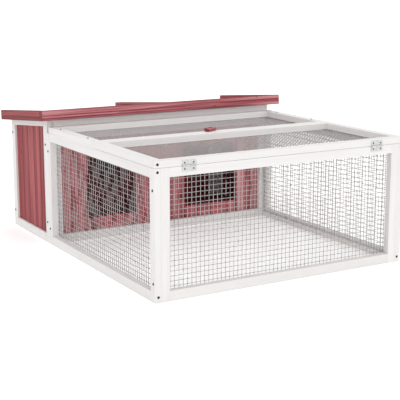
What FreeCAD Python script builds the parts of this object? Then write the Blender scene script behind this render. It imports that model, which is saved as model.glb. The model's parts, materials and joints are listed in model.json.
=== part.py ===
"""Low rabbit hutch: a small boarded house with a lean-to roof behind a floorless wire-mesh run.

Millimetres, +Z up. X = 0 is the middle of the hutch, Y = 0 the middle of its footprint with the
run towards -Y and the house towards +Y, and Z = 0 the ground. Every driving dimension is a cell of
the sheet "Dims", and each sub-part is a document object whose sizes and place are bound to those
cells. Texts such as "-half_width + board" below are expressions on the cells.
"""
import FreeCAD
import Part
import os
import re

import Sketcher

Vector = FreeCAD.Vector
doc = FreeCAD.newDocument("RabbitHutch")

DIMENSIONS = {
    # the two boxes of the hutch
    "half_width": 375.0,       # middle plane to the outer face of a side wall
    "front_y": -478.0,         # outer face of the run's front panel
    "run_depth": 652.0,        # front face to the joint between run and house
    "house_depth": 286.0,      # that joint to the outer face of the rear wall
    "panel_top": 324.5,        # top of the upright run panels
    "frame_top": 342.0,        # top of the two frames that cover the run
    # timber
    "board": 18.0,             # thickness of every framing board
    "stile": 23.0,             # width of an upright in a run panel
    "rail": 25.0,              # height of every bottom rail
    "head_rail": 23.5,         # height of a run panel's top rail
    "side_rail": 26.0,         # width of a cover frame's side rail
    "cross_rail": 23.0,        # width of a cover frame's front and rear rails
    "house_stile": 27.0,       # width of an upright in a house side wall
    "house_head": 21.5,        # height of the sloped top rail of a house wall
    "rear_stile": 38.0,        # width of an upright in the rear wall
    "plank": 8.0,              # thickness of the red planks
    "plank_inset": 6.0,        # planks behind the outer face of a side wall
    "plank_gap": 0.5,          # open joint between two planks
    "post_depth": 36.0,        # depth of the posts that run and house are both screwed to
    "floor_board": 10.0,       # thickness of the house floor
    # the wall between run and house, with its two doorways
    "wall_front": 640.0,       # front face of that wall, from the run's front
    "wall_inset": 10.0,        # planks behind the wall frame's front face
    "header_low": 301.0,       # underside of the header board
    "sill": 62.0,              # bottom edge of both doorways
    "lintel": 248.0,           # top edge of both doorways
    "door_a_low": -255.0,      # left doorway, along X
    "door_a_high": -95.0,
    "door_b_low": 71.0,        # right doorway, along X
    "door_b_high": 257.0,
    # cover frames of the run
    "lid_depth": 327.5,        # depth of the hinged front frame
    "seam": 0.5,               # clearance round the hinged frame
    "wall_clearance": 0.5,     # cover frame to the house wall
    # welded mesh
    "cell_across": 12.0,       # mesh pitch along a panel
    "cell_up": 12.5,           # mesh pitch up a panel
    "wire": 1.6,               # wire thickness
    "mesh_foot": 16.25,        # lowest wire of the upright panels
    "mesh_clear": 3.0,         # mesh back from a corner where two panels meet
    # lean-to roof
    "roof_pitch": 5.9,         # fall to the rear, degrees
    "roof_front": 624.0,       # top front edge of the fascia, from the run's front
    "roof_high": 391.0,        # height of that edge
    "roof_half": 400.0,        # middle plane to the outer face of a verge board
    "roof_length": 338.8,      # fascia to the rear edge, along the slope
    "verge": 29.0,             # height of the fascia and the verge boards
    "verge_board": 15.0,       # thickness of the fascia and the verge boards
    "batten": 25.0,            # width of the middle batten
    "deck_drop": 14.0,         # deck below the top of the verge boards
    "deck": 10.0,              # thickness of the deck boards
    "roof_rest": 0.5,          # deck above the walls
    # butt hinges
    "hinge_length": 38.0,
    "leaf": 1.2,               # thickness of a leaf
    "leaf_width": 14.0,        # hinge axis to the free edge of a leaf
    "pin_offset": 2.7,         # hinge axis in front of the wood
    "knuckle_radius": 2.3,
    "knuckle_gap": 0.2,        # play between two knuckles
    "tongue": 2.65,            # strip that joins a knuckle to its leaf, from the axis
    "plate_gap": 2.6,          # hinge axis to the near edge of a leaf
    "pin_radius": 1.0,
    "pin_play": 0.05,
    "pin_end": 0.2,            # pin beyond the outer knuckles
    "pin_head_radius": 1.7,
    "pin_head": 0.5,           # thickness of a pin's head
    "leaf_hole": 1.6,
    "leaf_hole_across": 12.0,  # middle of the leaf to a screw hole
    "leaf_hole_out": 7.5,      # hinge axis to the screw holes
    "lid_hinge_x": 282.0,      # middle plane to the middle of a lid hinge
    "roof_hinge_x": 250.0,     # middle plane to the middle of a roof hinge
    # turn button
    "button_length": 37.0,
    "button_width": 17.0,
    "button_height": 9.0,
    "button_corner": 3.0,
    "button_turn": 25.0,       # angle of the bar from +X at rest
    "button_x": -19.0,
    "button_y": 344.5,         # pivot, from the run's front
    "button_lift": 0.3,
    "pivot_radius": 2.0,
    "pivot_head_radius": 4.3,
    "pivot_depth": 14.0,       # pivot screw in the rail below the bar
    # screws
    "head_radius": 3.3,
    "head_height": 1.4,
    "shank_radius": 1.7,
    "shank_length": 34.0,
    "small_head_radius": 2.0,
    "small_head_height": 0.7,
    "small_shank_radius": 1.3,
    "small_shank_length": 9.0,
    # where the frames' screws sit
    "corner_screw_low": 13.5,
    "corner_screw_drop": 9.5,      # below the top of the run's front panel
    "rear_corner_screw": 326.0,
    "run_screw_low": 45.6,         # into the run's front and rear rails, from the side
    "run_screw_high": 271.5,
    "run_screw_back": 5.0,         # the rear pair, before the joint
    "house_screw_on": 14.0,        # the house's front pair, behind the joint
    "house_screw_low": 61.0,
    "house_screw_high": 288.0,
    "end_screw_low": 47.0,         # the pair at the rear wall
    "end_screw_high": 290.0,
    "top_screw_front": 70.0,       # on the fixed cover frame, behind the lid
    "top_screw_rear": 252.0,
    "lid_screw_drop": 8.5,         # below the top of the lid
}

# mesh cells along and up each panel
FRONT_CELLS = (58, 24)
SIDE_CELLS = (51, 24)
LID_CELLS = (59, 24)
TOP_CELLS = (59, 22)

sheet = doc.addObject("Spreadsheet::Sheet", "Dims")
for row, (name, value) in enumerate(DIMENSIONS.items(), start=1):
    sheet.set(f"A{row}", name)
    sheet.set(f"B{row}", str(value))
    sheet.setAlias(f"B{row}", name)
doc.recompute()

PARTS = []


def cells(text):
    """Point every bare name of an expression at its cell, leaving functions such as cos() alone."""
    return re.sub(r"[a-z_]+\b(?!\()", lambda found: "Dims." + found.group(), text)


def size(name):
    """A cell's number, for the few shapes that are made in code."""
    return float(sheet.get(name))


def keep(piece):
    """Mark an object as a sub-part that is written out."""
    PARTS.append(piece)
    return piece


def bind(piece, **texts):
    for prop, text in texts.items():
        piece.setExpression(prop, cells(text))


def place(piece, corner):
    for axis, text in zip("xyz", corner):
        piece.setExpression("Placement.Base." + axis, cells(text))


# ---------------------------------------------------------------- boards

FRONT = "front_y"
JOINT = "(front_y + run_depth)"
REAR = "(front_y + run_depth + house_depth)"
INNER = "(half_width - board)"


def board(label, x_span, y_span, z_span):
    """A square-edged board between two limits on each axis."""
    piece = doc.addObject("Part::Box", label)
    bind(piece, Length=f"({x_span[1]}) - ({x_span[0]})", Width=f"({y_span[1]}) - ({y_span[0]})",
         Height=f"({z_span[1]}) - ({z_span[0]})")
    place(piece, (x_span[0], y_span[0], z_span[0]))
    return piece


def under_roof(y, drop="0"):
    """Height just under the roof deck at a depth y, less a drop."""
    return (f"(roof_high - ({y} - front_y - roof_front) * tan(roof_pitch)"
            f" - (deck_drop + deck) / cos(roof_pitch) - roof_rest - ({drop}))")


def under_head(y):
    """Height of the lower edge of a house wall's top rail at a depth y."""
    return under_roof(y, "house_head")


def edge_at(edge, y):
    """Height of an edge at a depth y: a level edge is one expression, a sloped edge a function of y."""
    return edge(y) if callable(edge) else edge


def sloped_board(label, x_span, y_span, low, high):
    """A board that runs along Y between a lower and an upper edge, each level or sloped."""
    piece = doc.addObject("Part::Wedge", label)
    across = f"({x_span[1]}) - ({x_span[0]})"
    front, rear = y_span
    bind(piece, Xmin="0", Xmax=across, X2min="0", X2max=across,
         Ymin="0", Ymax=f"({rear}) - ({front})",
         Zmin=edge_at(low, front), Zmax=edge_at(high, front),
         Z2min=edge_at(low, rear), Z2max=edge_at(high, rear))
    place(piece, (x_span[0], y_span[0], "0"))
    return piece


def group(label, members):
    """Separate solids that share one node."""
    piece = doc.addObject("Part::Compound", label)
    piece.Links = members
    return keep(piece)


def planks(label, count, span, make):
    """Equal planks side by side between two limits, each made by make(name, its own span)."""
    made = []
    for number in range(count):
        step = f"(({span[1]}) - ({span[0]}) + plank_gap) / {count}"
        low = f"({span[0]}) + {number} * {step}"
        made.append(make(f"{label}_{number + 1}", (low, f"{low} + {step} - plank_gap")))
    return made


# ---------------------------------------------------------------- welded mesh

def sketch_on(body, role, name):
    """A sketch attached to one of the body's own origin planes."""
    plane = next(part for part in body.Origin.OriginFeatures if part.Role == role)
    sketch = body.newObject("Sketcher::SketchObject", name)
    sketch.AttachmentSupport = [(plane, "")]
    sketch.MapMode = "FlatFace"
    return sketch


def rectangle(sketch, wide, high, low=None):
    """A rectangle bound to cells, from the sketch's origin or from `low`."""
    corners = [Vector(10, 10), Vector(20, 10), Vector(20, 20), Vector(10, 20)]
    for number in range(4):
        sketch.addGeometry(Part.LineSegment(corners[number], corners[(number + 1) % 4]))
    for number in range(4):
        sketch.addConstraint(Sketcher.Constraint("Coincident", number, 2, (number + 1) % 4, 1))
    for number, kind in enumerate(("Horizontal", "Vertical", "Horizontal", "Vertical")):
        sketch.addConstraint(Sketcher.Constraint(kind, number))
    sized = [("DistanceX", (0, 1, 0, 2), wide), ("DistanceY", (1, 1, 1, 2), high)]
    if low is None:
        sketch.addConstraint(Sketcher.Constraint("Coincident", 0, 1, -1, 1))
    else:
        sized += [("DistanceX", (-1, 1, 0, 1), low[0]), ("DistanceY", (-1, 1, 0, 1), low[1])]
    for kind, ends, text in sized:
        index = sketch.addConstraint(Sketcher.Constraint(kind, *ends, 10.0))
        sketch.setExpression(f"Constraints[{index}]", cells(text))


def ladder(label, wide, high, pitch, spaces, upright):
    """Parallel wires joined at their ends: a thin plate with a row of slots, up or across it."""
    body = doc.addObject("PartDesign::Body", label)
    outline = sketch_on(body, "XY_Plane", label + "_outline")
    rectangle(outline, wide, high)
    plate = body.newObject("PartDesign::Pad", label + "_plate")
    plate.Profile = outline
    plate.setExpression("Length", cells("wire"))
    slot = sketch_on(body, "XY_Plane", label + "_slot")
    if upright:
        rectangle(slot, f"{pitch} - wire", f"{high} - 2 * wire", ("wire", "wire"))
    else:
        rectangle(slot, f"{wide} - 2 * wire", f"{pitch} - wire", ("wire", "wire"))
    pocket = body.newObject("PartDesign::Pocket", label + "_first_slot")
    pocket.Profile = slot
    pocket.Type = "ThroughAll"
    pocket.Reversed = True
    doc.recompute()
    row = body.newObject("PartDesign::LinearPattern", label + "_slots")
    row.Originals = [pocket]
    row.Direction = (slot, ["H_Axis" if upright else "V_Axis"])
    row.Occurrences = spaces
    row.setExpression("Length", cells(f"{pitch} * {spaces - 1}"))
    body.Tip = row
    return body


# how a flat sheet is turned into its panel: the sheet's X, Y and Z become these directions
LYING = FreeCAD.Rotation()
FACING_FRONT = FreeCAD.Rotation(Vector(1, 0, 0), Vector(0, 0, 1), Vector(0, -1, 0), "XYZ")
FACING_SIDE = FreeCAD.Rotation(Vector(0, 1, 0), Vector(0, 0, 1), Vector(1, 0, 0), "XYZ")


def half_span(count):
    """Half the width of a panel of so many cells, with its outer wires."""
    return f"({count} / 2 * cell_across + wire / 2)"


def mesh(label, cell_counts, corner, turn):
    """Welded mesh of so many cells along and up: two layers of wires that touch."""
    across, up = cell_counts
    wide = f"(cell_across * {across} + wire)"
    high = f"(cell_up * {up} + wire)"
    layers = [ladder(label + "_uprights", wide, high, "cell_across", across, True),
              ladder(label + "_crosses", wide, high, "cell_up", up, False)]
    lift = turn.multVec(Vector(0, 0, 1))
    for number, layer in enumerate(layers):
        layer.Placement = FreeCAD.Placement(Vector(), turn)
        place(layer, [f"{text} + {number * round(way)} * wire" for text, way in zip(corner, lift)])
    return group(label, layers)


# ---------------------------------------------------------------- run

def upright_panel(name, stiles, rails, z_head="panel_top - head_rail"):
    """Four framing boards: two stiles of full height with two rails between them."""
    for label, spans in stiles:
        keep(board(f"{name}_{label}", *spans, ("0", "panel_top")))
    for label, spans in rails:
        heights = ("0", "rail") if label == "bottom_rail" else (z_head, "panel_top")
        keep(board(f"{name}_{label}", *spans, heights))


def run_front():
    depth = (FRONT, FRONT + " + board")
    edge = f"({INNER} - stile)"
    between = ("-" + edge, edge)
    upright_panel("front", [("left_stile", (("-" + INNER, "-" + edge), depth)),
                            ("right_stile", ((edge, INNER), depth))],
                  [("top_rail", (between, depth)), ("bottom_rail", (between, depth))])
    corner = ("-" + half_span(FRONT_CELLS[0]), FRONT + " + board + 2 * wire", "mesh_foot")
    mesh("front_mesh", FRONT_CELLS, corner, FACING_FRONT)


def run_side(side):
    name = "run_left" if side < 0 else "run_right"
    across = ("-half_width", "-" + INNER) if side < 0 else (INNER, "half_width")
    front_edge = FRONT + " + stile"
    rear_edge = JOINT + " - stile"
    between = (front_edge, rear_edge)
    upright_panel(name, [("front_stile", (across, (FRONT, front_edge))),
                         ("rear_stile", (across, (rear_edge, JOINT)))],
                  [("top_rail", (across, between)), ("bottom_rail", (across, between))])
    inner_face = "-" + INNER if side < 0 else INNER + " - 2 * wire"
    mesh(name + "_mesh", SIDE_CELLS, (inner_face, FRONT + " + board + mesh_clear", "mesh_foot"), FACING_SIDE)


def cover_frame(name, front, rear, low, mesh_front, cell_counts):
    """A flat frame over the run: front and rear rails of full width, side rails between them."""
    heights = (low, "frame_top")
    whole = ("-half_width", "half_width")
    inner = "(half_width - side_rail)"
    between = (f"{front} + cross_rail", f"{rear} - cross_rail")
    keep(board(name + "_front_rail", whole, (front, between[0]), heights))
    keep(board(name + "_rear_rail", whole, (between[1], rear), heights))
    keep(board(name + "_left_rail", ("-half_width", "-" + inner), between, heights))
    keep(board(name + "_right_rail", (inner, "half_width"), between, heights))
    mesh(name + "_mesh", cell_counts,
         ("-" + half_span(cell_counts[0]), mesh_front, f"{low} - 2 * wire"), LYING)


# ---------------------------------------------------------------- house

def dividing_wall():
    """The wall between run and house: two posts, a header, a bottom rail and the red planks."""
    front = "(front_y + wall_front)"
    frame = (front, front + " + board")
    post = (front, front + " + post_depth")
    edge = f"({INNER} - board)"
    group("wall_posts", [board("wall_left_post", ("-" + INNER, "-" + edge), post, ("0", "header_low")),
                         board("wall_right_post", (edge, INNER), post, ("0", "header_low"))])
    keep(board("wall_bottom_rail", ("-" + edge, edge), frame, ("0", "rail")))
    keep(sloped_board("wall_header", ("-" + INNER, INNER), frame, "header_low", under_roof))
    skin = (front + " + wall_inset", front + " + wall_inset + plank")
    full = ("rail", "header_low")
    bays = [(2, ("-" + edge, "door_a_low"), (full,)),
            (4, ("door_a_low", "door_a_high"), (("rail", "sill"), ("lintel", "header_low"))),
            (4, ("door_a_high", "door_b_low"), (full,)),
            (4, ("door_b_low", "door_b_high"), (("rail", "sill"), ("lintel", "header_low"))),
            (2, ("door_b_high", edge), (full,))]
    members = []
    for bay, (count, span, heights) in enumerate(bays):
        for tier, height in enumerate(heights):
            members += planks(f"wall_plank_{bay + 1}_{tier + 1}", count, span,
                              lambda name, across: board(name, across, skin, height))
    group("wall_planks", members)


def house_side(side):
    name = "house_left" if side < 0 else "house_right"
    across = ("-half_width", "-" + INNER) if side < 0 else (INNER, "half_width")
    front_edge = JOINT + " + house_stile"
    rear_edge = REAR + " - house_stile"
    keep(sloped_board(name + "_front_stile", across, (JOINT, front_edge), "0", under_roof))
    keep(sloped_board(name + "_rear_stile", across, (rear_edge, REAR), "0", under_roof))
    keep(sloped_board(name + "_top_rail", across, (front_edge, rear_edge), under_head, under_roof))
    keep(board(name + "_bottom_rail", across, (front_edge, rear_edge), ("0", "rail")))
    if side < 0:
        skin = ("-half_width + plank_inset", "-half_width + plank_inset + plank")
    else:
        skin = ("half_width - plank_inset - plank", "half_width - plank_inset")
    group(name + "_planks",
          planks(name + "_plank", 5, (front_edge, rear_edge),
                 lambda label, depth: sloped_board(label, skin, depth, "rail", under_head)))


def house_rear():
    frame = (REAR + " - board", REAR)
    edge = f"({INNER} - rear_stile)"
    low = under_roof(frame[0], "2 * house_head")
    group("rear_wall_stiles", [
        sloped_board("rear_wall_left_stile", ("-" + INNER, "-" + edge), frame, "0", under_roof),
        sloped_board("rear_wall_right_stile", (edge, INNER), frame, "0", under_roof)])
    keep(sloped_board("rear_wall_top_rail", ("-" + edge, edge), frame, low, under_roof))
    keep(board("rear_wall_bottom_rail", ("-" + edge, edge), frame, ("0", "rail")))
    skin = (REAR + " - plank_inset - plank", REAR + " - plank_inset")
    group("rear_wall_planks", planks("rear_wall_plank", 14, ("-" + edge, edge),
                                     lambda name, across: board(name, across, skin, ("rail", low))))


def house_floor():
    """A floor as wide as the house, notched round the two posts at its front corners."""
    front = "(front_y + wall_front + board)"
    notch = (front, "front_y + wall_front + post_depth + seam")
    post_side = f"({INNER} - board - seam)"
    heights = ("rail - floor_board", "rail")
    notches = doc.addObject("Part::MultiFuse", "floor_notches")
    notches.Shapes = [board("floor_left_notch", ("-" + INNER, "-" + post_side), notch, heights),
                      board("floor_right_notch", (post_side, INNER), notch, heights)]
    piece = doc.addObject("Part::Cut", "house_floor")
    piece.Base = board("floor_blank", ("-" + INNER, INNER), (front, REAR + " - board"), heights)
    piece.Tool = notches
    keep(piece)


# ---------------------------------------------------------------- lean-to roof

def on_slope(down, lift):
    """The expressions of Y and Z for a point `down` the slope and `lift` above the roof's top."""
    along = f"({down})"
    above = f"({lift})"
    return (f"front_y + roof_front + {along} * cos(roof_pitch) + {above} * sin(roof_pitch)",
            f"roof_high - {along} * sin(roof_pitch) + {above} * cos(roof_pitch)")


def roof_board(label, x_span, down_span, lift_span):
    """A board that lies with the slope, between two limits on each of the roof's own axes."""
    piece = doc.addObject("Part::Box", label)
    piece.Placement = FreeCAD.Placement(Vector(), FreeCAD.Rotation(Vector(-1, 0, 0), size("roof_pitch")))
    bind(piece, Length=f"({x_span[1]}) - ({x_span[0]})", Width=f"({down_span[1]}) - ({down_span[0]})",
         Height=f"({lift_span[1]}) - ({lift_span[0]})")
    y, z = on_slope(down_span[0], lift_span[0])
    place(piece, (x_span[0], y, z))
    return piece


def roof():
    inner = "(roof_half - verge_board)"
    slope = ("verge_board", "roof_length")
    keep(roof_board("roof_fascia", ("-roof_half", "roof_half"), ("0", "verge_board"), ("-verge", "0")))
    keep(roof_board("roof_left_verge", ("-roof_half", "-" + inner), slope, ("-verge", "0")))
    keep(roof_board("roof_right_verge", (inner, "roof_half"), slope, ("-verge", "0")))
    keep(roof_board("roof_batten", ("-batten / 2", "batten / 2"), slope, ("-deck_drop", "0")))
    group("roof_deck", planks("roof_deck_board", 16, ("-" + inner, inner),
                              lambda name, across: roof_board(name, across, slope,
                                                              ("-deck_drop - deck", "-deck_drop"))))


# ---------------------------------------------------------------- butt hinges

KNUCKLES = 5


def leaf(label, moving, turn, axis_point):
    """One leaf of a butt hinge, with its knuckles, bore and two screw holes.

    Before it is turned, the hinge axis is X, the wood is on the +Y side and a moving leaf points
    up. A fixed leaf points down and takes the first, middle and last knuckle.
    """
    def part(kind, suffix, corner, **sizes):
        made = doc.addObject(kind, label + suffix)
        bind(made, **sizes)
        place(made, corner)
        return made

    step = f"hinge_length / {KNUCKLES}"
    knuckle_long = f"{step} - knuckle_gap"
    plate_low = "plate_gap" if moving else "-leaf_width"
    tongue_low = "0" if moving else "-tongue"
    solids = [part("Part::Box", "_plate", ("-hinge_length / 2", "pin_offset - leaf", plate_low),
                   Length="hinge_length", Width="leaf", Height="leaf_width - plate_gap")]
    for number in range(1 if moving else 0, KNUCKLES, 2):
        start = f"-hinge_length / 2 + {number} * {step} + knuckle_gap / 2"
        knuckle = part("Part::Cylinder", f"_knuckle_{number}", (start, "0", "0"),
                       Radius="knuckle_radius", Height=knuckle_long)
        knuckle.Placement.Rotation = FreeCAD.Rotation(Vector(0, 1, 0), 90)
        tongue = part("Part::Box", f"_tongue_{number}", (start, "pin_offset - leaf", tongue_low),
                      Length=knuckle_long, Width="leaf", Height="tongue")
        solids += [knuckle, tongue]
    body = doc.addObject("Part::MultiFuse", label + "_body")
    body.Shapes = solids
    bore = part("Part::Cylinder", "_bore", ("-hinge_length", "0", "0"),
                Radius="pin_radius + pin_play", Height="2 * hinge_length")
    bore.Placement.Rotation = FreeCAD.Rotation(Vector(0, 1, 0), 90)
    cutters = [bore]
    height = "leaf_hole_out" if moving else "-leaf_hole_out"
    for way in (-1, 1):
        hole = part("Part::Cylinder", f"_hole_{way + 2}",
                    (f"{way} * leaf_hole_across", "2 * pin_offset", height),
                    Radius="leaf_hole", Height="2 * pin_offset")
        hole.Placement.Rotation = FreeCAD.Rotation(Vector(1, 0, 0), 90)
        cutters.append(hole)
    tools = doc.addObject("Part::MultiFuse", label + "_cutters")
    tools.Shapes = cutters
    made = doc.addObject("Part::Cut", label)
    made.Base = body
    made.Tool = tools
    made.Placement = FreeCAD.Placement(Vector(), turn)
    place(made, axis_point)
    return made


def pin(label, axis_point):
    """A hinge pin with a small head at each end."""
    shank = doc.addObject("Part::Cylinder", label + "_shank")
    bind(shank, Radius="pin_radius", Height="hinge_length + 2 * pin_end")
    place(shank, ("0", "0", "-hinge_length / 2 - pin_end"))
    heads = []
    for end, start in enumerate(("-hinge_length / 2 - pin_end - pin_head", "hinge_length / 2 + pin_end")):
        head = doc.addObject("Part::Cylinder", f"{label}_head_{end + 1}")
        bind(head, Radius="pin_head_radius", Height="pin_head")
        place(head, ("0", "0", start))
        heads.append(head)
    made = doc.addObject("Part::MultiFuse", label)
    made.Shapes = [shank] + heads
    made.Placement = FreeCAD.Placement(Vector(), FreeCAD.Rotation(Vector(0, 1, 0), 90))
    place(made, axis_point)
    return made


def screw(label, point, outward, small=False):
    """A pan-head wood screw whose head sits on the surface at `point`."""
    prefix = "small_" if small else ""
    head = doc.addObject("Part::Cylinder", label + "_head")
    bind(head, Radius=prefix + "head_radius", Height=prefix + "head_height")
    shank = doc.addObject("Part::Cylinder", label + "_shank")
    bind(shank, Radius=prefix + "shank_radius", Height=prefix + "shank_length")
    place(shank, ("0", "0", f"-{prefix}shank_length"))
    made = doc.addObject("Part::Fuse", label)
    made.Base = head
    made.Tool = shank
    made.Placement = FreeCAD.Placement(Vector(), FreeCAD.Rotation(Vector(0, 0, 1), Vector(*outward)))
    place(made, point)
    return made


STRAIGHT = FreeCAD.Rotation()
REVERSED = FreeCAD.Rotation(Vector(0, 0, 1), 180)
ALONG_DECK = FreeCAD.Rotation(Vector(-1, 0, 0), 90 + size("roof_pitch")) * REVERSED


def hinges():
    """Two hinges on the run's front for the lid, and two behind the rear wall for the roof."""
    lid_axis = (FRONT + " - pin_offset", "panel_top + seam / 2")
    rear = f"({REAR} + pin_offset)"
    roof_axis = (rear, f"{under_roof(rear)} + roof_rest - pin_offset / cos(roof_pitch)")
    fixed, lid_leaves, roof_leaves, pins = [], [], [], []
    fixed_screws, lid_screws, roof_screws = [], [], []
    for side in (-1, 1):
        tag = "left" if side < 0 else "right"
        lid_x = f"{side} * lid_hinge_x"
        roof_x = f"{side} * roof_hinge_x"
        fixed.append(leaf(f"lid_hinge_{tag}_fixed", False, STRAIGHT, (lid_x, *lid_axis)))
        fixed.append(leaf(f"roof_hinge_{tag}_fixed", False, REVERSED, (roof_x, *roof_axis)))
        lid_leaves.append(leaf(f"lid_hinge_{tag}_moving", True, STRAIGHT, (lid_x, *lid_axis)))
        roof_leaves.append(leaf(f"roof_hinge_{tag}_moving", True, ALONG_DECK, (roof_x, *roof_axis)))
        pins.append(pin(f"lid_hinge_{tag}_pin", (lid_x, *lid_axis)))
        pins.append(pin(f"roof_hinge_{tag}_pin", (roof_x, *roof_axis)))
        for way in (-1, 1):
            end = f"{way} * leaf_hole_across"
            name = f"{tag}_{way + 2}"
            on_front = FRONT + " - leaf"
            fixed_screws.append(screw("lid_fixed_screw_" + name,
                                      (f"{lid_x} + {end}", on_front, f"{lid_axis[1]} - leaf_hole_out"),
                                      (0, -1, 0), small=True))
            lid_screws.append(screw("lid_leaf_screw_" + name,
                                    (f"{lid_x} + {end}", on_front, f"{lid_axis[1]} + leaf_hole_out"),
                                    (0, -1, 0), small=True))
            on_rear = REAR + " + leaf"
            fixed_screws.append(screw("roof_fixed_screw_" + name,
                                      (f"{roof_x} + {end}", on_rear, f"{roof_axis[1]} - leaf_hole_out"),
                                      (0, 1, 0), small=True))
            out = "leaf_hole_out"
            back = "(pin_offset - leaf)"
            roof_screws.append(screw(
                "roof_leaf_screw_" + name,
                (f"{roof_x} + {end}",
                 f"{roof_axis[0]} + {out} * cos(roof_pitch) + {back} * sin(roof_pitch)",
                 f"{roof_axis[1]} - {out} * sin(roof_pitch) + {back} * cos(roof_pitch)"),
                ALONG_DECK.multVec(Vector(0, -1, 0)), small=True))
    group("hinge_fixed_leaves", fixed)
    group("lid_hinge_leaves", lid_leaves)
    group("roof_hinge_leaves", roof_leaves)
    group("hinge_pins", pins)
    group("fixed_leaf_screws", fixed_screws)
    group("lid_leaf_screws", lid_screws)
    group("roof_leaf_screws", roof_screws)


# ---------------------------------------------------------------- turn button

def turn_button():
    """A small wooden bar that turns on one screw to hold the lid shut."""
    body = doc.addObject("PartDesign::Body", "turn_button")
    outline = sketch_on(body, "XY_Plane", "button_outline")
    rectangle(outline, "button_length", "button_width")
    pad = body.newObject("PartDesign::Pad", "button_block")
    pad.Profile = outline
    pad.setExpression("Length", cells("button_height"))
    hole = sketch_on(body, "XY_Plane", "button_hole")
    hole.addGeometry(Part.Circle(Vector(10, 10), Vector(0, 0, 1), 2))
    for kind, ends, text in (("DistanceX", (-1, 1, 0, 3), "button_length / 2"),
                             ("DistanceY", (-1, 1, 0, 3), "button_width / 2"),
                             ("Radius", (0,), "pivot_radius + pin_play")):
        index = hole.addConstraint(Sketcher.Constraint(kind, *ends, 5.0))
        hole.setExpression(f"Constraints[{index}]", cells(text))
    pocket = body.newObject("PartDesign::Pocket", "button_bore")
    pocket.Profile = hole
    pocket.Type = "ThroughAll"
    pocket.Reversed = True
    doc.recompute()
    tall = size("button_height")
    uprights = [f"Edge{number}" for number, edge in enumerate(pocket.Shape.Edges, start=1)
                if len(edge.Vertexes) == 2 and abs(edge.Length - tall) < 0.01
                and abs(edge.Vertexes[0].Z - edge.Vertexes[1].Z) > 1
                and edge.Curve.TypeId == "Part::GeomLine"
                and min(edge.Vertexes[0].X, size("button_length") - edge.Vertexes[0].X) < 0.01]
    round_off = body.newObject("PartDesign::Fillet", "button_corners")
    round_off.Base = (pocket, uprights)
    round_off.setExpression("Radius", cells("button_corner"))
    body.Tip = round_off
    body.Placement = FreeCAD.Placement(Vector(), FreeCAD.Rotation(Vector(0, 0, 1), size("button_turn")))
    half_long, half_wide = "button_length / 2", "button_width / 2"
    place(body, (f"button_x - {half_long} * cos(button_turn) + {half_wide} * sin(button_turn)",
                 f"front_y + button_y - {half_long} * sin(button_turn) - {half_wide} * cos(button_turn)",
                 "frame_top + button_lift"))
    keep(body)


def button_screw():
    """The pivot of the turn button: its plain shank runs through the bar into the rail."""
    head = doc.addObject("Part::Cylinder", "button_screw_head")
    bind(head, Radius="pivot_head_radius", Height="head_height")
    shank = doc.addObject("Part::Cylinder", "button_screw_shank")
    long = "(button_height + 2 * button_lift + pivot_depth)"
    bind(shank, Radius="pivot_radius", Height=long)
    place(shank, ("0", "0", "-" + long))
    made = doc.addObject("Part::Fuse", "button_screw")
    made.Base = head
    made.Tool = shank
    place(made, ("button_x", "front_y + button_y", "frame_top + button_height + 2 * button_lift"))
    keep(made)


# ---------------------------------------------------------------- screws of the frames

def frame_screws():
    """The black screws that hold the frames together, all in fixed boards."""
    made = []
    end = "(run_depth + house_depth - board / 2)"
    side_faces = [("board / 2", "run_screw_high"), ("board / 2", "run_screw_low"),
                  ("run_depth - run_screw_back", "run_screw_high"),
                  ("run_depth - run_screw_back", "run_screw_low"),
                  ("run_depth + house_screw_on", "house_screw_high"),
                  ("run_depth + house_screw_on", "house_screw_low"),
                  (end, "end_screw_high"), (end, "end_screw_low")]
    corners = (("panel_top - corner_screw_drop", "rear_corner_screw"),
               ("corner_screw_low", "corner_screw_low"))
    for side in (-1, 1):
        tag = "left" if side < 0 else "right"
        edge = f"{side} * (half_width - board / 2)"
        for number, (depth, height) in enumerate(side_faces, start=1):
            made.append(screw(f"{tag}_side_screw_{number}",
                              (f"{side} * half_width", f"front_y + {depth}", height), (side, 0, 0)))
        for number, (front_height, rear_height) in enumerate(corners, start=1):
            made.append(screw(f"{tag}_front_screw_{number}", (edge, FRONT, front_height), (0, -1, 0)))
            made.append(screw(f"{tag}_rear_screw_{number}", (edge, REAR, rear_height), (0, 1, 0)))
        for number, depth in enumerate(("top_screw_front", "top_screw_rear"), start=1):
            made.append(screw(f"{tag}_top_screw_{number}",
                              (f"{side} * (half_width - side_rail / 2)",
                               f"front_y + lid_depth + {depth}", "frame_top"), (0, 0, 1)))
    group("frame_screws", made)
    group("lid_screws", [screw(f"lid_screw_{side + 2}",
                               (f"{side} * (half_width - board / 2)", FRONT, "frame_top - lid_screw_drop"),
                               (0, -1, 0))
                         for side in (-1, 1)])


# ---------------------------------------------------------------- the whole hutch

run_front()
for hand in (-1, 1):
    run_side(hand)
    house_side(hand)
LID_REAR = "(front_y + lid_depth)"
cover_frame("lid", FRONT, LID_REAR, "(panel_top + seam)",
            FRONT + " + board + mesh_clear / 2", LID_CELLS)
cover_frame("top", f"({LID_REAR} + seam)", "(front_y + wall_front - wall_clearance)", "panel_top",
            f"{LID_REAR} + board", TOP_CELLS)
dividing_wall()
house_rear()
house_floor()
roof()
hinges()
turn_button()
button_screw()
frame_screws()
doc.recompute()

for item in doc.Objects:
    if "Invalid" in item.State or "Error" in item.State:
        raise RuntimeError(f"{item.Name} did not compute: {item.State}")
for piece in PARTS:
    if piece.Shape.isNull() or not piece.Shape.isValid() or not piece.Shape.Solids:
        raise RuntimeError(f"{piece.Label} has no valid solid")
if len({piece.Label for piece in PARTS}) != len(PARTS):
    raise RuntimeError("two sub-parts share a label")

os.makedirs("parts", exist_ok=True)
for piece in PARTS:
    piece.Shape.exportStep(f"parts/{piece.Label}.step")
print(len(PARTS), "sub-parts written")
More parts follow.
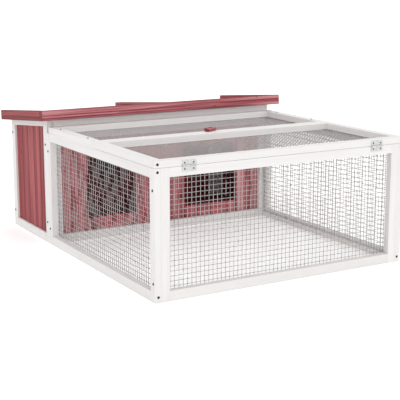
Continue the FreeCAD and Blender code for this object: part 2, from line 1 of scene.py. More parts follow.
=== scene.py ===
import json
import math
import random

import bmesh
import bpy
import numpy as np
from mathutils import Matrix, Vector
from mathutils import noise as smooth_noise


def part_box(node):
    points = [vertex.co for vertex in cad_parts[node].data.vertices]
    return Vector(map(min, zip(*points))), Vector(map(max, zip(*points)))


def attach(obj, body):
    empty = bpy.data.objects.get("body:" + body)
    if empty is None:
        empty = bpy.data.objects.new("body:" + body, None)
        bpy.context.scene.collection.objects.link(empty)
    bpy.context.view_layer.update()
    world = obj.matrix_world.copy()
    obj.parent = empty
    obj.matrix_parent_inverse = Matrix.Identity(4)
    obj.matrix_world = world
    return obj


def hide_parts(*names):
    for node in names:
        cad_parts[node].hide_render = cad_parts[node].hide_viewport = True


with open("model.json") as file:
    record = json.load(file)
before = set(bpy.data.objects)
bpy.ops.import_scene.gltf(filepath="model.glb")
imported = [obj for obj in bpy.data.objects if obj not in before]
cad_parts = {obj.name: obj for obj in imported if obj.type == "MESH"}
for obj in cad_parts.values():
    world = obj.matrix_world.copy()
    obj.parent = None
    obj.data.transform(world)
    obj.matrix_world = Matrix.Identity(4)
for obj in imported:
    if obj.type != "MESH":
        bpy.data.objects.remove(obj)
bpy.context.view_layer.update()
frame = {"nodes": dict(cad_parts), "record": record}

MM = 0.001

# ---------------------------------------------------------------------------
# What the record says of each node: its material slot and the body it moves with
# ---------------------------------------------------------------------------

SLOT_OF = {part["node"]: part["material_slot"] for part in frame["record"]["subparts"]}
BODY_OF = {
    node: body
    for body, nodes in frame["record"]["behaviour"]["bodies"].items()
    for node in nodes
}


# ---------------------------------------------------------------------------
# Materials
# ---------------------------------------------------------------------------


# A Mix node's sockets when it mixes colours: how much, the first colour, the second, the result.
MIX_INPUTS = (0, 6, 7)
MIX_RESULT = 2

BUMP = 0.35
BUMP_DEPTH = 0.4 * MM
WHITE_RING = 4.2 * MM   # the width of a growth ring
RED_RING = 4.6 * MM


class Finish:
    """A material under construction: short names for adding nodes and joining them."""

    def __init__(self, name):
        self.material = bpy.data.materials.new(name)
        self.material.use_nodes = True
        self.tree = self.material.node_tree
        self.surface = self.tree.nodes["Principled BSDF"]

    def node(self, kind, inputs=None, **settings):
        made = self.tree.nodes.new(kind)
        for name, value in settings.items():
            setattr(made, name, value)
        for socket, value in (inputs or {}).items():
            self.feed(made.inputs[socket], value)
        return made

    def feed(self, socket, value):
        if isinstance(value, bpy.types.NodeSocket):
            self.tree.links.new(value, socket)
        else:
            socket.default_value = value

    def attribute(self, name, output):
        return self.node("ShaderNodeAttribute", attribute_name=name).outputs[output]

    def stretched(self, vector, along, across, through):
        """A place to read a pattern at, which repeats about so many times in a metre each way."""
        scale = (along, across, through)
        return self.node("ShaderNodeMapping", {"Vector": vector, "Scale": scale}).outputs[0]

    def noise(self, vector, detail=3.0, distortion=0.0):
        inputs = {
            "Vector": vector,
            "Scale": 1.0,
            "Detail": detail,
            "Roughness": 0.55,
            "Distortion": distortion,
        }
        return self.node("ShaderNodeTexNoise", inputs).outputs["Fac"]

    def between(self, value, low, high, to_low=0.0, to_high=1.0):
        """A value from low to high, taken to one from to_low to to_high."""
        inputs = {
            "Value": value,
            "From Min": low,
            "From Max": high,
            "To Min": to_low,
            "To Max": to_high,
        }
        return self.node("ShaderNodeMapRange", inputs).outputs[0]

    def maths(self, operation, *values):
        made = self.node("ShaderNodeMath", dict(enumerate(values)), operation=operation)
        return made.outputs[0]

    def share(self, value, amount):
        """A mask weakened to an amount from 0 to 1."""
        return self.maths("MULTIPLY", value, amount)

    def mix(self, amount, first, second):
        made = self.node("ShaderNodeMix", data_type="RGBA")
        for socket, value in zip(MIX_INPUTS, (amount, first, second)):
            self.feed(made.inputs[socket], value)
        return made.outputs[MIX_RESULT]

    def bump(self, height, strength, distance):
        inputs = {"Height": height, "Strength": strength, "Distance": distance}
        normal = self.node("ShaderNodeBump", inputs).outputs[0]
        self.set("Normal", normal)

    def set(self, socket, value):
        """Gives one of the shader's own sockets a value or an output to follow."""
        self.feed(self.surface.inputs[socket], value)


def colour(red, green, blue):
    """A colour as a screen shows it, from 0 to 255, in the linear values that a shader takes."""
    linear = [
        c / 12.92 if c <= 0.04045 else ((c + 0.055) / 1.055) ** 2.4
        for c in (red / 255, green / 255, blue / 255)
    ]
    return (*linear, 1.0)


def knots(finish, grain, along=9, across=15, rarity=0.72):
    """A mask of the knots, which run through a board: 1 at the heart of one, 0 away from it.

    There are along by across places for a knot in a square metre, and rarity of them are empty.
    """
    wobble = finish.noise(finish.stretched(grain, 40, 60, 60), detail=3)
    places = finish.stretched(grain, along, across, 0)
    inputs = {"Vector": places, "Scale": 1.0, "Randomness": 1.0}
    cell = finish.node("ShaderNodeTexVoronoi", inputs)
    chance = finish.node("ShaderNodeSeparateColor", {"Color": cell.outputs["Color"]}).outputs[0]
    ragged = finish.maths(
        "ADD", cell.outputs["Distance"], finish.between(wobble, 0.3, 0.7, -0.04, 0.04)
    )
    present = finish.maths("GREATER_THAN", chance, rarity)
    return finish.maths("MULTIPLY", finish.between(ragged, 0.06, 0.13, 1.0, 0.0), present)


def rings(finish, grain, period):
    """A mask of the growth rings' late wood, as the faces and ends of a board cut it."""
    off_heart = finish.node(
        "ShaderNodeVectorMath", {0: finish.stretched(grain, 0, 1, 1)}, operation="LENGTH"
    ).outputs["Value"]
    sway = finish.noise(finish.stretched(grain, 1.1, 9, 9), detail=3, distortion=0.4)
    swayed = finish.maths("ADD", off_heart, finish.share(sway, 0.03))
    turn = finish.maths("FRACT", finish.maths("DIVIDE", swayed, period))
    return finish.maths(
        "MULTIPLY",
        finish.between(turn, 0.45, 0.9),
        finish.between(turn, 1.0, 0.93),
    )


def painted_wood(name):
    """White paint over softwood: the grain, the knots and the brushing just show through it."""
    finish = Finish(name)
    grain = finish.attribute("grain", "Vector")
    board = finish.attribute("board", "Fac")
    edge = finish.attribute("edge", "Fac")
    fibre = finish.noise(finish.stretched(grain, 7, 330, 330), detail=4)
    figure = finish.noise(finish.stretched(grain, 1.6, 48, 48), detail=3, distortion=0.6)
    brushing = finish.noise(finish.stretched(grain, 14, 900, 900), detail=2)
    knot = knots(finish, grain)
    ring = rings(finish, grain, WHITE_RING)

    paint = finish.mix(
        finish.between(figure, 0.35, 0.68), colour(225, 224, 223), colour(219, 217, 216)
    )
    paint = finish.mix(finish.between(fibre, 0.56, 0.74, 0, 0.4), paint, colour(207, 203, 201))
    paint = finish.mix(finish.share(ring, 0.1), paint, colour(210, 202, 194))
    paint = finish.mix(finish.between(board, 0, 1, 0, 0.2), paint, colour(217, 210, 206))
    paint = finish.mix(finish.share(knot, 0.3), paint, colour(188, 170, 150))
    paint = finish.mix(finish.share(edge, 0.12), paint, colour(200, 191, 178))
    finish.set("Base Color", paint)
    finish.set("Roughness", finish.between(fibre, 0.3, 0.75, 0.38, 0.62))
    finish.set("Specular IOR Level", 0.25)
    relief = finish.maths("ADD", finish.share(fibre, 0.7), brushing)
    relief = finish.maths("ADD", relief, finish.share(ring, 0.35))
    relief = finish.maths("SUBTRACT", relief, finish.share(knot, 0.6))
    finish.bump(relief, BUMP, BUMP_DEPTH)
    return finish.material


def stained_wood(name, tones, edge_shading_tone, figure_scale=46, contrast=1.0, flecked=False):
    """A thin red stain that leaves the softwood's figure, pores and knots in plain sight.

    tones are the stain's middle, dark and light colours. The edge tone is the colour that
    the eased edges are drawn towards: painted shade where it is darker than the stain.
    Flecked wood has more and smaller knots, and more of the painted shade on its edges.
    """
    middle, dark, light = tones
    finish = Finish(name)
    grain = finish.attribute("grain", "Vector")
    board = finish.attribute("board", "Fac")
    edge = finish.attribute("edge", "Fac")
    end = finish.attribute("end", "Fac")
    figure = finish.noise(
        finish.stretched(grain, 0.9, figure_scale, figure_scale), detail=2, distortion=0.7
    )
    streak = finish.noise(finish.stretched(grain, 2.4, 150, 150), detail=3, distortion=0.3)
    pore = finish.noise(finish.stretched(grain, 9, 720, 720), detail=3)
    knot = knots(finish, grain, 26, 55, 0.6) if flecked else knots(finish, grain)
    ring = rings(finish, grain, RED_RING)

    stain = finish.mix(finish.between(figure, 0.51, 0.66, 0, contrast), middle, light)
    stain = finish.mix(finish.between(figure, 0.47, 0.33, 0, contrast), stain, dark)
    stain = finish.mix(finish.between(streak, 0.52, 0.66, 0, 0.6 * contrast), stain, dark)
    stain = finish.mix(finish.between(streak, 0.44, 0.3, 0, 0.5 * contrast), stain, light)
    stain = finish.mix(finish.between(board, 0, 1, 0, 0.3), stain, dark)
    stain = finish.mix(finish.share(end, 0.8), stain, dark)
    stain = finish.mix(finish.share(ring, 0.38), stain, dark)
    stain = finish.mix(finish.between(pore, 0.56, 0.75, 0, 0.4), stain, dark)
    stain = finish.mix(finish.share(knot, 0.8), stain, KNOT)
    # the eased edges drawn towards the edge tone: painted shade where that tone is darker
    stain = finish.mix(finish.share(edge, 0.8 if flecked else 0.55), stain, edge_shading_tone)
    finish.set("Base Color", stain)
    finish.set("Roughness", finish.between(pore, 0.3, 0.75, 0.5, 0.74))
    finish.set("Specular IOR Level", 0.3)
    relief = finish.maths("SUBTRACT", finish.share(streak, 0.6), pore)
    relief = finish.maths("ADD", relief, finish.share(ring, 0.6))
    relief = finish.maths("ADD", relief, finish.share(knot, 0.5))
    finish.bump(relief, BUMP, BUMP_DEPTH)
    return finish.material


def galvanised(name, bright, metallic, rough):
    """Zinc with its soft spangle, duller along scuffs."""
    finish = Finish(name)
    place = finish.node("ShaderNodeTexCoord").outputs["Object"]
    spangle = finish.node(
        "ShaderNodeTexVoronoi", {"Vector": place, "Scale": 420.0}, feature="SMOOTH_F1"
    ).outputs["Color"]
    spangle = finish.node("ShaderNodeSeparateColor", {"Color": spangle}).outputs[0]
    scuff = finish.noise(finish.stretched(place, 90, 90, 90), detail=4)
    dull = tuple(0.62 * c for c in bright[:3]) + (1.0,)
    zinc = finish.mix(finish.between(spangle, 0.2, 0.8, 0, 0.5), bright, dull)
    zinc = finish.mix(finish.between(scuff, 0.55, 0.7, 0, 0.5), zinc, dull)
    finish.set("Base Color", zinc)
    finish.set("Metallic", metallic)
    finish.set("Roughness", finish.between(scuff, 0.3, 0.7, rough, rough + 0.2))
    finish.bump(scuff, 0.15, 0.2 * MM)
    return finish.material


def black_oxide(name):
    """The black coating of the screws, worn through to bare steel in random patches that also
    serve as painted highlight.
    """
    finish = Finish(name)
    place = finish.node("ShaderNodeTexCoord").outputs["Object"]
    grit = finish.noise(finish.stretched(place, 1500, 1500, 1500), detail=3)
    wear_and_highlight = finish.noise(finish.stretched(place, 500, 500, 500), detail=3)
    coat = finish.mix(finish.between(grit, 0.4, 0.7), colour(34, 34, 36), colour(58, 57, 58))
    # lighter patches at random: part wear, part painted highlight
    coat = finish.mix(finish.between(wear_and_highlight, 0.6, 0.74, 0, 0.6), coat, colour(112, 110, 108))
    finish.set("Base Color", coat)
    finish.set("Metallic", 0.6)
    finish.set("Roughness", finish.between(grit, 0.3, 0.7, 0.34, 0.55))
    finish.bump(grit, 0.2, 0.1 * MM)
    return finish.material


RED = (colour(149, 62, 67), colour(116, 38, 42), colour(181, 99, 100))
RED_DARK, RED_LIGHT = RED[1:]
# a lighter copy of the red stain, painted light on the roof and on the wall behind the run
LIT_RED = (colour(188, 108, 113), colour(116, 38, 46), colour(216, 150, 154))
LIT_RED_DARK = LIT_RED[1]
# painted shade for the eased edges of the roof boards and verges
EDGE_SHADE = colour(84, 40, 42)
KNOT = colour(78, 26, 28)

# deck_wood is on the roof deck and on the planks of the wall behind the run.
# roof_wood and deck_wood take a lighter copy of the red stain, painted light: it lifts the wall
# behind the run out of the shade that it stands in, and makes the roof's front boards lighter
# than its verges, which keep the red stain.
MATERIALS = {
    "white_wood": painted_wood("white paint"),
    "red_wood": stained_wood("red stain", RED, RED_DARK),
    "floor_wood": stained_wood("floor stain", RED, RED_LIGHT, 30, 0.7),
    "roof_wood": stained_wood("roof stain", LIT_RED, EDGE_SHADE, 90, 1.4, True),
    "deck_wood": stained_wood("deck stain", LIT_RED, LIT_RED_DARK, 60, 0.9),
    "verge_wood": stained_wood("verge stain", RED, EDGE_SHADE, 90, 1.3, True),
    "mesh_wire": galvanised("wire zinc", colour(182, 178, 177), 0.35, 0.42),
    "hinge_steel": galvanised("hinge zinc", colour(212, 212, 210), 0.75, 0.34),
    "black_screw": black_oxide("black screw"),
}


# ---------------------------------------------------------------------------
# Making pieces
# ---------------------------------------------------------------------------

SAME_POINT = 0.01 * MM
FLAT_WITHIN = math.radians(0.5)
WOOD_ARRIS = math.radians(20)     # an edge that turns more than this is eased
METAL_ARRIS = math.radians(50)
WOOD_EASE = 0.5 * MM
METAL_EASE = 0.15 * MM
FLAT_WEIGHT = 90                  # of wide faces over narrow ones in the shading of an edge
END_WITHIN = 0.8                  # a face that points along its board more than this is an end

# Where a board was sawn from its log: metres along the log, to the side of its heart, and off it.
ALONG_LOG = (0, 90)
BESIDE_HEART = (-0.03, 0.03)
OFF_HEART = (0.02, 0.06)


def add(name, data):
    """Puts a new object in the scene."""
    made = bpy.data.objects.new(name, data)
    bpy.context.collection.objects.link(made)
    return made


def mesh_from(name, shape, material):
    """Turns a finished bmesh into a mesh of one material, and frees the bmesh."""
    mesh = bpy.data.meshes.new(name)
    shape.to_mesh(mesh)
    shape.free()
    mesh.materials.append(material)
    return mesh


def piece(node, kind, shape, material=None):
    """Puts a shape in the scene in place of a CAD node, on the body that the node moves with."""
    material = material or MATERIALS[SLOT_OF[node]]
    made = add(f"{node}.{kind}", mesh_from(f"{node}.mesh", shape, material))
    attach(made, BODY_OF[node])
    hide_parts(node)
    return made


def smooth(shape):
    for face in shape.faces:
        face.smooth = True


def keep_flats_flat(made, weight):
    """Shades wide faces as flat, so that only the eased edges catch the light."""
    flat = made.modifiers.new("flat faces", "WEIGHTED_NORMAL")
    flat.weight = weight
    flat.keep_sharp = False


def cad_copy(node):
    """The node's own shape as a bmesh, with its flat faces whole again."""
    shape = bmesh.new()
    shape.from_mesh(frame["nodes"][node].data)
    bmesh.ops.remove_doubles(shape, verts=shape.verts, dist=SAME_POINT)
    bmesh.ops.dissolve_limit(
        shape, angle_limit=FLAT_WITHIN, verts=shape.verts, edges=shape.edges
    )
    return shape


def ease_edges(shape, arris, width, steps):
    """Rounds the edges that turn more than an angle, and gives the faces of the rounding."""
    sharp = [edge for edge in shape.edges if edge.calc_face_angle(0) > arris]
    eased = bmesh.ops.bevel(
        shape,
        geom=sharp,
        offset=width,
        offset_type="OFFSET",
        segments=steps,
        profile=0.5,
        affect="EDGES",
        clamp_overlap=True,
    )
    return set(eased["faces"])


def solids(shape):
    """The separate solids of a bmesh, each as a list of its vertices."""
    seen = set()
    found = []
    for start in shape.verts:
        if start in seen:
            continue
        seen.add(start)
        members, waiting = [start], [start]
        while waiting:
            vertex = waiting.pop()
            for edge in vertex.link_edges:
                other = edge.other_vert(vertex)
                if other not in seen:
                    seen.add(other)
                    members.append(other)
                    waiting.append(other)
        found.append(members)
    return found


def centre_of(members):
    return sum((vertex.co for vertex in members), Vector()) / len(members)


def forwards(direction):
    """A direction, turned round if its largest part is negative."""
    largest = max(range(3), key=lambda i: abs(direction[i]))
    return -direction if direction[largest] < 0 else direction


def grain_frame(members):
    """The directions along, across and through a board, from its longest edge and largest face."""
    edges = {edge for vertex in members for edge in vertex.link_edges}
    faces = {face for vertex in members for face in vertex.link_faces}
    longest = max(edges, key=lambda e: (round(e.calc_length(), 6), tuple(e.verts[0].co)))
    along = forwards((longest.verts[1].co - longest.verts[0].co).normalized())
    sides = [face for face in faces if abs(face.normal.dot(along)) < 0.5]
    widest = max(sides, key=lambda f: (round(f.calc_area(), 8), tuple(f.calc_center_median())))
    through = forwards(widest.normal.copy())
    return along, through.cross(along).normalized(), through


def write_grain(shape, node, frames):
    """Stores, on each vertex, where it lies in its own board, and a tone for the board."""
    draw = random.Random(node)
    grain = shape.verts.layers.float_vector.new("grain")
    board = shape.verts.layers.float.new("board")
    end = shape.faces.layers.float.new("end")
    groups = solids(shape)
    centres = [centre_of(members) for members in groups]
    order = sorted(range(len(groups)), key=lambda i: tuple(round(c, 4) for c in centres[i]))
    for index in order:
        centre = centres[index]
        along, across, through = min(frames, key=lambda f: (f[0] - centre).length)[1]
        sawn_at = Vector(
            (draw.uniform(*ALONG_LOG), draw.uniform(*BESIDE_HEART), draw.uniform(*OFF_HEART))
        )
        tone = draw.random()
        for vertex in groups[index]:
            at = vertex.co - centre
            vertex[grain] = Vector((at.dot(along), at.dot(across), at.dot(through))) + sawn_at
            vertex[board] = tone
        for face in {face for vertex in groups[index] for face in vertex.link_faces}:
            face[end] = float(abs(face.normal.dot(along)) > END_WITHIN)


def wood_piece(node, ease=WOOD_EASE, steps=2, material=None):
    """Boards with eased edges: the CAD solids, their arrises rounded, each with its own grain."""
    shape = cad_copy(node)
    frames = [(centre_of(members), grain_frame(members)) for members in solids(shape)]
    worn = ease_edges(shape, WOOD_ARRIS, ease, steps)
    edge = shape.verts.layers.float.new("edge")
    for vertex in shape.verts:
        vertex[edge] = float(all(face in worn for face in vertex.link_faces))
    write_grain(shape, node, frames)
    smooth(shape)
    keep_flats_flat(piece(node, "wood", shape, material), FLAT_WEIGHT)


def metal_piece(node):
    """A pressed or turned metal part: the CAD solid with its sharp edges broken."""
    shape = cad_copy(node)
    ease_edges(shape, METAL_ARRIS, METAL_EASE, 2)
    smooth(shape)
    keep_flats_flat(piece(node, "metal", shape), FLAT_WEIGHT)


def circle(radius, sides, start=0.0):
    """The x and y of points round a circle, the first of them `start` of a side on."""
    angles = [math.tau * (side + start) / sides for side in range(sides)]
    return [(radius * math.cos(angle), radius * math.sin(angle)) for angle in angles]


def skin(shape, hoops):
    """The faces between hoops of vertices, from each hoop to the next."""
    for hoop, following in zip(hoops, hoops[1:]):
        for side in range(len(hoop)):
            other = (side + 1) % len(hoop)
            shape.faces.new((hoop[side], hoop[other], following[other], following[side]))


def tube(shape, line, radius, sides):
    """A round wire along a line of points, closed at both ends."""
    outline = [Vector((x, y, 0)) for x, y in circle(radius, sides, 0.5)]
    hoops = []
    for index, point in enumerate(line):
        before, after = line[max(index - 1, 0)], line[min(index + 1, len(line) - 1)]
        turn = (after - before).to_track_quat("Z", "Y")
        hoops.append([shape.verts.new(point + turn @ out) for out in outline])
    skin(shape, hoops)
    shape.faces.new(hoops[0][::-1])
    shape.faces.new(hoops[-1])


# ---------------------------------------------------------------------------
# Welded mesh
# ---------------------------------------------------------------------------

WIRE_SHARE = 0.235      # a wire's radius, as a share of the thickness of the mesh
WIRE_SINK = 0.9         # how far a layer's wires are from the middle, in radii: under 1, they meet
WIRE_BEND = 0.16 * MM
WIRE_BENDS = 9          # in a metre
WIRE_STEP = 0.05        # a wire has two points in each of these, and at least 8 in all
WIRE_SIDES = 7

STAPLE_SPACING = 0.085
STAPLE_WIRE = 0.5 * MM  # its radius, and that of its bends
STAPLE_REACH = 3.0 * MM
STAPLE_INSET = 1.3 * MM
STAPLE_BITE = 2.0 * MM
STAPLE_SIDES = 6


def wire_places(node, axis):
    """The middle of each wire along one axis, from the two sides that it has in the CAD mesh."""
    sides = sorted({round(v.co[axis], 5) for v in frame["nodes"][node].data.vertices})
    return [(a + b) / 2 for a, b in zip(sides[0::2], sides[1::2])]


def point_at(places):
    """A point, from a place on each axis."""
    return Vector([places[axis] for axis in range(3)])


def welded_mesh(node):
    """Two layers of round wires that are welded where they cross, none of them quite straight."""
    low, high = (Vector(corner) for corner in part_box(node))
    thin = min(range(3), key=lambda i: high[i] - low[i])
    first, second = [i for i in range(3) if i != thin]
    radius = (high[thin] - low[thin]) * WIRE_SHARE
    middle = (low[thin] + high[thin]) / 2
    draw = random.Random(node)
    shape = bmesh.new()
    for across, along, sink in ((first, second, -WIRE_SINK), (second, first, WIRE_SINK)):
        places = wire_places(node, across)
        length = high[along] - low[along]
        steps = 2 * max(4, round(length / WIRE_STEP))
        for index, place in enumerate(places):
            bend = 0.0 if index in (0, len(places) - 1) else WIRE_BEND
            seed = draw.uniform(0, 100)
            line = []
            for step in range(steps + 1):
                reach = low[along] + length * step / steps
                drift = smooth_noise.noise(Vector((seed, reach * WIRE_BENDS, 0)))
                stray = 2 * bend * drift
                line.append(
                    point_at({along: reach, across: place + stray, thin: middle + sink * radius})
                )
            tube(shape, line, radius, WIRE_SIDES)
    for face in shape.faces:
        face.smooth = len(face.verts) == 4      # the sides of the wires, and not their ends
    piece(node, "wires", shape)


def staples(node, frame_side):
    """Staples astride the wires of a mesh, just inside its outer wires.

    They are driven into the frame on frame_side, which is 1, 2 or 3 for X, Y or Z, and negative
    for the frame on the lower side.
    """
    low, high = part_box(node)
    thin = abs(frame_side) - 1
    into = math.copysign(1, frame_side)
    in_wood = (high[thin] if into > 0 else low[thin]) + into * STAPLE_BITE
    crown = (low[thin] if into > 0 else high[thin]) - into * STAPLE_WIRE
    outline = (
        (-STAPLE_REACH, in_wood),
        (-STAPLE_REACH, crown + into * STAPLE_WIRE),
        (-STAPLE_REACH + STAPLE_WIRE, crown),
        (STAPLE_REACH - STAPLE_WIRE, crown),
        (STAPLE_REACH, crown + into * STAPLE_WIRE),
        (STAPLE_REACH, in_wood),
    )
    shape = bmesh.new()
    axes = [i for i in range(3) if i != thin]
    for along, across in (axes, axes[::-1]):
        crossings = wire_places(node, along)
        step = max(1, round(STAPLE_SPACING / (crossings[1] - crossings[0])))
        inner = crossings[1:-1]
        held = inner[(len(inner) - 1) % step // 2 :: step]
        edges = wire_places(node, across)
        for row in (edges[0] + STAPLE_INSET, edges[-1] - STAPLE_INSET):
            for place in held:
                line = [
                    point_at({along: place + reach, across: row, thin: depth})
                    for reach, depth in outline
                ]
                tube(shape, line, STAPLE_WIRE, STAPLE_SIDES)
    smooth(shape)
    mesh = mesh_from(f"{node}.staples.mesh", shape, MATERIALS["hinge_steel"])
    made = add(f"{node}.staples", mesh)
    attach(made, BODY_OF[node])


# ---------------------------------------------------------------------------
# Screws
# ---------------------------------------------------------------------------

HEAD_RINGS = (0.1, 0.2, 0.3, 0.4, 0.5, 0.6, 0.7, 0.82, 0.93, 1.0)
HEAD_DOME = 0.93        # the rim's radius, as a share of that of the ball whose crown it cuts off
HEAD_UNDER = 0.98       # the underside's radius, as a share of the head's
RECESS_DEPTH = 0.75     # as a share of the head's height
RECESS_ARM = 0.62       # half the length of the cross, as a share of the head's radius
RECESS_HALF = 0.13      # half the width of its arms at the bottom
RECESS_LIP = 1.6        # how many times wider they are at the top
RECESS_SLOPE = 0.75     # how much of the depth is gone at the end of an arm
SCREW_SIDES = 48
SHANK_STRAIGHT = 0.8    # the share of a screw's length above its point
POINT_BLUNT = 0.05      # the tip's radius, as a share of the shank's
SCREW_RIM = 0.97        # of the largest radius: a vertex further out is on the head's rim
SCREW_FAR = 0.9         # of the length: a vertex further from the rim is at the point
SCREW_NECK = 0.3 * MM   # how far under the head the shank is measured


def cross_recess(x, y, radius):
    """How deep the cross recess is at a point of a screw's head, from 0 to 1."""
    arm, half = RECESS_ARM * radius, RECESS_HALF * radius
    depth = 0.0
    for along, across in ((abs(x), abs(y)), (abs(y), abs(x))):
        if along < arm and across < half * RECESS_LIP:
            slope = (across - half) / ((RECESS_LIP - 1) * half)
            wall = 1.0 if across < half else 1.0 - slope
            depth = max(depth, wall * (1.0 - RECESS_SLOPE * along / arm))
    return depth


def screw(shape, top, axis, radius, height, shank, length):
    """A domed head with a cross recess, on its shank and point.

    top is the crown of the head, and axis points out of it.
    """
    turn = axis.to_track_quat("Z", "Y")
    recess = RECESS_DEPTH * height
    outlines = []
    for share in HEAD_RINGS:
        dome = height * (math.sqrt(1 - (HEAD_DOME * share) ** 2) - 1)
        outline = circle(radius * share, SCREW_SIDES)
        outlines.append([(x, y, dome - recess * cross_recess(x, y, radius)) for x, y in outline])
    for wide, depth in (
        (HEAD_UNDER * radius, height),
        (shank, height),
        (shank, length * SHANK_STRAIGHT),
        (POINT_BLUNT * shank, length),
    ):
        outlines.append([(x, y, -depth) for x, y in circle(wide, SCREW_SIDES)])
    hoops = [[shape.verts.new(top + turn @ Vector(at)) for at in outline] for outline in outlines]
    skin(shape, hoops[::-1])
    middle = shape.verts.new(top + turn @ Vector((0, 0, -recess)))
    for side in range(SCREW_SIDES):
        shape.faces.new((middle, hoops[0][side], hoops[0][(side + 1) % SCREW_SIDES]))
    shape.faces.new(hoops[-1][::-1])


def about_line(points, middle, direction):
    """How far each point is along a line, and how far off it."""
    away = (points - middle) @ direction
    radial = np.linalg.norm(points - middle - np.outer(away, direction), axis=1)
    return away, radial


def screw_piece(node):
    """Each CAD screw of a node, made again with a domed head and a cross recess, in its place."""
    source = cad_copy(node)
    shape = bmesh.new()
    for members in solids(source):
        points = np.array([vertex.co for vertex in members], float)
        middle = points.mean(0)
        direction = np.linalg.svd(points - middle)[2][0]
        for _ in range(3):
            away, radial = about_line(points, middle, direction)
            rim = points[radial > radial.max() * SCREW_RIM]
            far = points[np.abs(away - away[radial.argmax()]) > SCREW_FAR * np.ptp(away)]
            direction = rim.mean(0) - far.mean(0)
            direction = direction / np.linalg.norm(direction)
            middle = rim.mean(0)
        away, radial = about_line(points, middle, direction)
        underside = away[radial > radial.max() * SCREW_RIM].min()
        screw(
            shape,
            top=Vector(middle + direction * away.max()),
            axis=Vector(direction),
            radius=radial.max(),
            height=away.max() - underside,
            shank=radial[away < underside - SCREW_NECK].max(),
            length=np.ptp(away),
        )
    source.free()
    bmesh.ops.recalc_face_normals(shape, faces=shape.faces)
    smooth(shape)
    keep_flats_flat(piece(node, "turned", shape), 50)


# ---------------------------------------------------------------------------
# The hutch
# ---------------------------------------------------------------------------

PLANK_EASE = 1.6 * MM
ROOF_EASE = 1.8 * MM
DECK_EASE = 1.1 * MM
BUTTON_EASE = 1.2 * MM

for node in sorted(frame["nodes"]):
    if SLOT_OF[node] == "mesh_wire":
        welded_mesh(node)
    elif "screw" in node:
        screw_piece(node)
    elif SLOT_OF[node] == "hinge_steel":
        metal_piece(node)
    elif "verge" in node:
        wood_piece(node, ROOF_EASE, 3, MATERIALS["verge_wood"])
    elif node == "roof_deck":
        wood_piece(node, DECK_EASE, 3, MATERIALS["deck_wood"])
    elif node == "wall_planks":
        wood_piece(node, PLANK_EASE, 2, MATERIALS["deck_wood"])
    elif node.startswith("roof_"):
        wood_piece(node, ROOF_EASE, 3, MATERIALS["roof_wood"])
    elif "planks" in node:
        wood_piece(node, PLANK_EASE)
    elif node == "turn_button":
        wood_piece(node, BUTTON_EASE, 3, MATERIALS["roof_wood"])
    else:
        wood_piece(node)

# The side of each mesh that its frame is on, as staples() takes it.
FRAME_SIDES = {
    "front_mesh": -2,
    "run_left_mesh": -1,
    "run_right_mesh": 1,
    "lid_mesh": 3,
    "top_mesh": 3,
}
for node, side in FRAME_SIDES.items():
    staples(node, side)


# ---------------------------------------------------------------------------
# Studio
# ---------------------------------------------------------------------------

FLOOR_RADIUS = 60
FLOOR_DROP = 0.4 * MM   # keeps the floor clear of the feet of the frames
FLOOR_GLOW = 0.16
FLOOR_PALE = (0.97, 0.97, 0.97, 1)
FLOOR_SHADE = (0.95, 0.95, 0.95, 1)
WORLD_LEVEL = 0.85
WORLD_OVERHEAD = 1.3
SUN_WIDTH = math.radians(50)
SUN_STRENGTH = 0.45
SUN_TOWARDS = (-0.15, -0.9, 0.2)
CAMERA_PLACE = (-1.4704, -2.5704, 0.7640)
CAMERA_HEADING = math.radians(30.207)   # from +Y towards +X
CAMERA_DIP = math.radians(12.255)
CAMERA_LENS = 93.70     # in mm, with a sensor 36 mm wide


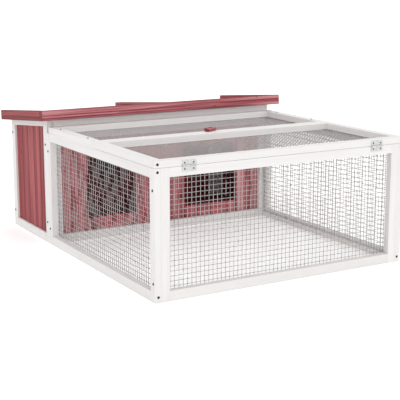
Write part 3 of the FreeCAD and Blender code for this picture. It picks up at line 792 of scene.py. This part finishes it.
def plain_floor():
    """A wide pale floor under the hutch."""
    finish = Finish("studio floor")
    place = finish.node("ShaderNodeTexCoord").outputs["Object"]
    mottle = finish.noise(finish.stretched(place, 3, 3, 3), detail=3)
    pale = finish.mix(finish.between(mottle, 0.3, 0.7), FLOOR_SHADE, FLOOR_PALE)
    finish.set("Base Color", pale)
    finish.set("Roughness", 0.9)
    finish.set("Specular IOR Level", 0.1)
    finish.set("Emission Color", (1, 1, 1, 1))
    finish.set("Emission Strength", FLOOR_GLOW)
    shape = bmesh.new()
    bmesh.ops.create_circle(shape, cap_ends=True, segments=64, radius=FLOOR_RADIUS)
    made = add("studio_floor", mesh_from("floor", shape, finish.material))
    made.location.z = -FLOOR_DROP


def aim(made, direction, track):
    """Turns a lamp or camera so that its track axis points in a direction."""
    made.rotation_mode = "QUATERNION"
    made.rotation_quaternion = Vector(direction).to_track_quat(track, "Y")


def soft_sun():
    """A sun as wide as a softbox, low in front of the hutch."""
    lamp = bpy.data.lights.new("key", "SUN")
    lamp.angle = SUN_WIDTH
    lamp.energy = SUN_STRENGTH
    aim(add("key", lamp), SUN_TOWARDS, "Z")


def sky():
    """Even light from all round, strongest overhead."""
    world = bpy.data.worlds.new("studio")
    world.use_nodes = True
    nodes, links = world.node_tree.nodes, world.node_tree.links
    direction = nodes.new("ShaderNodeTexCoord").outputs["Generated"]
    height = nodes.new("ShaderNodeSeparateXYZ")
    strength = nodes.new("ShaderNodeMapRange")
    strength.inputs["To Min"].default_value = WORLD_LEVEL
    strength.inputs["To Max"].default_value = WORLD_OVERHEAD
    links.new(direction, height.inputs[0])
    links.new(height.outputs["Z"], strength.inputs["Value"])
    nodes["Background"].inputs["Color"].default_value = (1, 1, 1, 1)
    links.new(strength.outputs["Result"], nodes["Background"].inputs["Strength"])
    bpy.context.scene.world = world
    bpy.context.scene.view_settings.view_transform = "Standard"


def camera():
    """Looks down at the hutch from its front left corner."""
    level = math.cos(CAMERA_DIP)
    forward = (
        math.sin(CAMERA_HEADING) * level,
        math.cos(CAMERA_HEADING) * level,
        -math.sin(CAMERA_DIP),
    )
    lens = bpy.data.cameras.new("camera")
    lens.sensor_width = 36
    lens.lens = CAMERA_LENS
    lens.clip_start = 0.05
    lens.clip_end = 200
    made = add("camera", lens)
    made.location = CAMERA_PLACE
    aim(made, forward, "-Z")
    bpy.context.scene.camera = made


plain_floor()
sky()
soft_sun()
camera()
